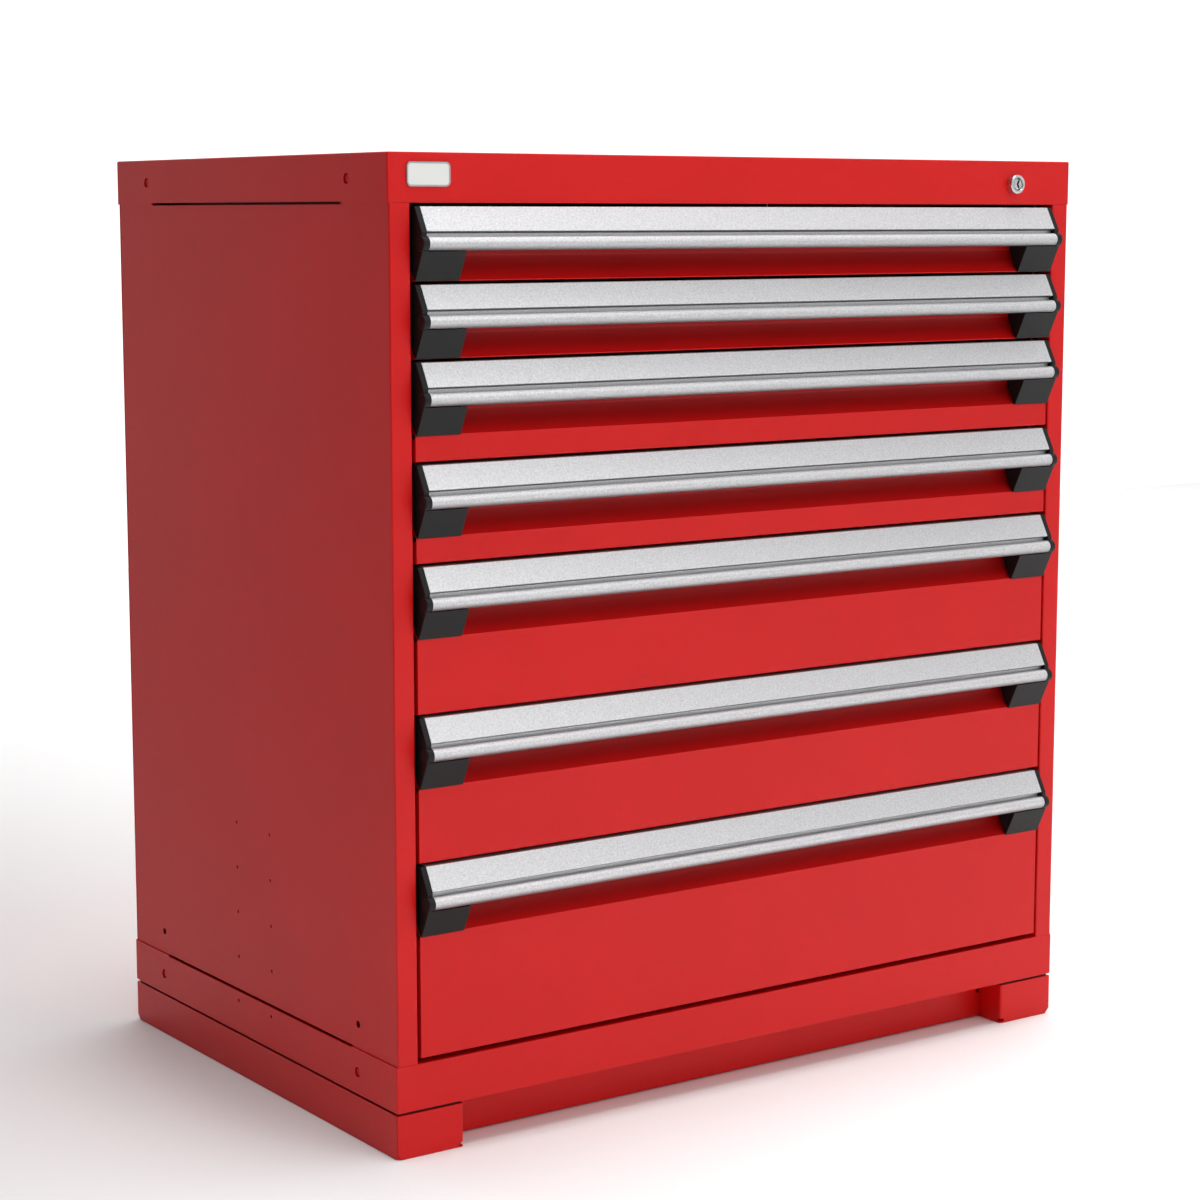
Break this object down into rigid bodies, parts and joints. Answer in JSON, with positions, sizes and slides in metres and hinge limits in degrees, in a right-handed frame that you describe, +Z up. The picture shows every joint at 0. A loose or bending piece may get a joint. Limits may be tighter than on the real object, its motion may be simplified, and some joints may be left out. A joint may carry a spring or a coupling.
{
  "type": "tool chest",
  "caption": "Free-standing steel tool chest: full-width drawers on telescopic slides, aluminium pull rails, a front lock and a plinth base.",
  "frame": {"origin": "on the floor, in the middle of the footprint of the housing and its handles", "axes": "+X to the chest's right-hand side as seen from its front, -Y out of its front, +Z up"},
  "size_m": [0.9144, 0.631, 1.016],
  "materials": {
    "red_powder_coat": "semi-gloss powder coat with fine orange peel",
    "aluminium": "sand-blasted and clear anodised",
    "black_plastic": "moulded, fine spark-eroded texture",
    "zinc_steel": "bright zinc plated",
    "chrome": "polished",
    "white_enamel": "smooth enamel"
  },
  "bodies": {
    "root": {"top_cap": "red_powder_coat", "bottom_pan": "red_powder_coat", "side_panel_left": "red_powder_coat", "side_panel_right": "red_powder_coat", "back_panel": "red_powder_coat", "base_rail_left": "red_powder_coat", "base_rail_right": "red_powder_coat", "base_toe_panel": "red_powder_coat", "base_rear_panel": "red_powder_coat", "slide_frame_left": "zinc_steel", "slide_frame_right": "zinc_steel", "lock_housing": "chrome", "lock_bar_guide_upper": "black_plastic", "lock_bar_guide_lower": "black_plastic", "badge_plate": "white_enamel"},
    "drawer_1": {"drawer_1": "red_powder_coat", "handle_1": "aluminium", "end_cap_left_1": "black_plastic", "end_cap_right_1": "black_plastic"},
    "slides_1": {"middle_slide_left_1": "zinc_steel", "middle_slide_right_1": "zinc_steel"},
    "drawer_2": {"drawer_2": "red_powder_coat", "handle_2": "aluminium", "end_cap_left_2": "black_plastic", "end_cap_right_2": "black_plastic"},
    "slides_2": {"middle_slide_left_2": "zinc_steel", "middle_slide_right_2": "zinc_steel"},
    "drawer_3": {"drawer_3": "red_powder_coat", "handle_3": "aluminium", "end_cap_left_3": "black_plastic", "end_cap_right_3": "black_plastic"},
    "slides_3": {"middle_slide_left_3": "zinc_steel", "middle_slide_right_3": "zinc_steel"},
    "drawer_4": {"drawer_4": "red_powder_coat", "handle_4": "aluminium", "end_cap_left_4": "black_plastic", "end_cap_right_4": "black_plastic"},
    "slides_4": {"middle_slide_left_4": "zinc_steel", "middle_slide_right_4": "zinc_steel"},
    "drawer_5": {"drawer_5": "red_powder_coat", "handle_5": "aluminium", "end_cap_left_5": "black_plastic", "end_cap_right_5": "black_plastic"},
    "slides_5": {"middle_slide_left_5": "zinc_steel", "middle_slide_right_5": "zinc_steel"},
    "drawer_6": {"drawer_6": "red_powder_coat", "handle_6": "aluminium", "end_cap_left_6": "black_plastic", "end_cap_right_6": "black_plastic"},
    "slides_6": {"middle_slide_left_6": "zinc_steel", "middle_slide_right_6": "zinc_steel"},
    "drawer_7": {"drawer_7": "red_powder_coat", "handle_7": "aluminium", "end_cap_left_7": "black_plastic", "end_cap_right_7": "black_plastic"},
    "slides_7": {"middle_slide_left_7": "zinc_steel", "middle_slide_right_7": "zinc_steel"},
    "lock_plug": {"lock_plug": "chrome", "lock_cam": "zinc_steel"},
    "lock_bar": {"lock_bar": "zinc_steel"}
  },
  "joints": [
    {"name": "drawer_1_slide", "type": "slide", "parent": "root", "child": "drawer_1", "axis": [0, -1, 0], "range_m": [0, 0.533]},
    {"name": "slides_1_slide", "type": "slide", "parent": "root", "child": "slides_1", "axis": [0, -1, 0], "range_m": [0, 0.2665]},
    {"name": "drawer_2_slide", "type": "slide", "parent": "root", "child": "drawer_2", "axis": [0, -1, 0], "range_m": [0, 0.533]},
    {"name": "slides_2_slide", "type": "slide", "parent": "root", "child": "slides_2", "axis": [0, -1, 0], "range_m": [0, 0.2665]},
    {"name": "drawer_3_slide", "type": "slide", "parent": "root", "child": "drawer_3", "axis": [0, -1, 0], "range_m": [0, 0.533]},
    {"name": "slides_3_slide", "type": "slide", "parent": "root", "child": "slides_3", "axis": [0, -1, 0], "range_m": [0, 0.2665]},
    {"name": "drawer_4_slide", "type": "slide", "parent": "root", "child": "drawer_4", "axis": [0, -1, 0], "range_m": [0, 0.533]},
    {"name": "slides_4_slide", "type": "slide", "parent": "root", "child": "slides_4", "axis": [0, -1, 0], "range_m": [0, 0.2665]},
    {"name": "drawer_5_slide", "type": "slide", "parent": "root", "child": "drawer_5", "axis": [0, -1, 0], "range_m": [0, 0.533]},
    {"name": "slides_5_slide", "type": "slide", "parent": "root", "child": "slides_5", "axis": [0, -1, 0], "range_m": [0, 0.2665]},
    {"name": "drawer_6_slide", "type": "slide", "parent": "root", "child": "drawer_6", "axis": [0, -1, 0], "range_m": [0, 0.533]},
    {"name": "slides_6_slide", "type": "slide", "parent": "root", "child": "slides_6", "axis": [0, -1, 0], "range_m": [0, 0.2665]},
    {"name": "drawer_7_slide", "type": "slide", "parent": "root", "child": "drawer_7", "axis": [0, -1, 0], "range_m": [0, 0.533]},
    {"name": "slides_7_slide", "type": "slide", "parent": "root", "child": "slides_7", "axis": [0, -1, 0], "range_m": [0, 0.2665]},
    {"name": "lock_turn", "type": "hinge", "parent": "root", "child": "lock_plug", "pos_m": [0.3703, -0.2941, 0.9897], "axis": [0, -1, 0], "range_deg": [0, 90]},
    {"name": "lock_bar_lift", "type": "slide", "parent": "root", "child": "lock_bar", "axis": [0, 0, 1], "range_m": [0, 0.008]}
  ],
  "couplings": [
    {"joint": "slides_1_slide", "follows": "drawer_1_slide", "ratio": 0.5},
    {"joint": "slides_2_slide", "follows": "drawer_2_slide", "ratio": 0.5},
    {"joint": "slides_3_slide", "follows": "drawer_3_slide", "ratio": 0.5},
    {"joint": "slides_4_slide", "follows": "drawer_4_slide", "ratio": 0.5},
    {"joint": "slides_5_slide", "follows": "drawer_5_slide", "ratio": 0.5},
    {"joint": "slides_6_slide", "follows": "drawer_6_slide", "ratio": 0.5},
    {"joint": "slides_7_slide", "follows": "drawer_7_slide", "ratio": 0.5},
    {"joint": "lock_turn", "follows": "lock_bar_lift", "rad_per_m": 196.35}
  ]
}
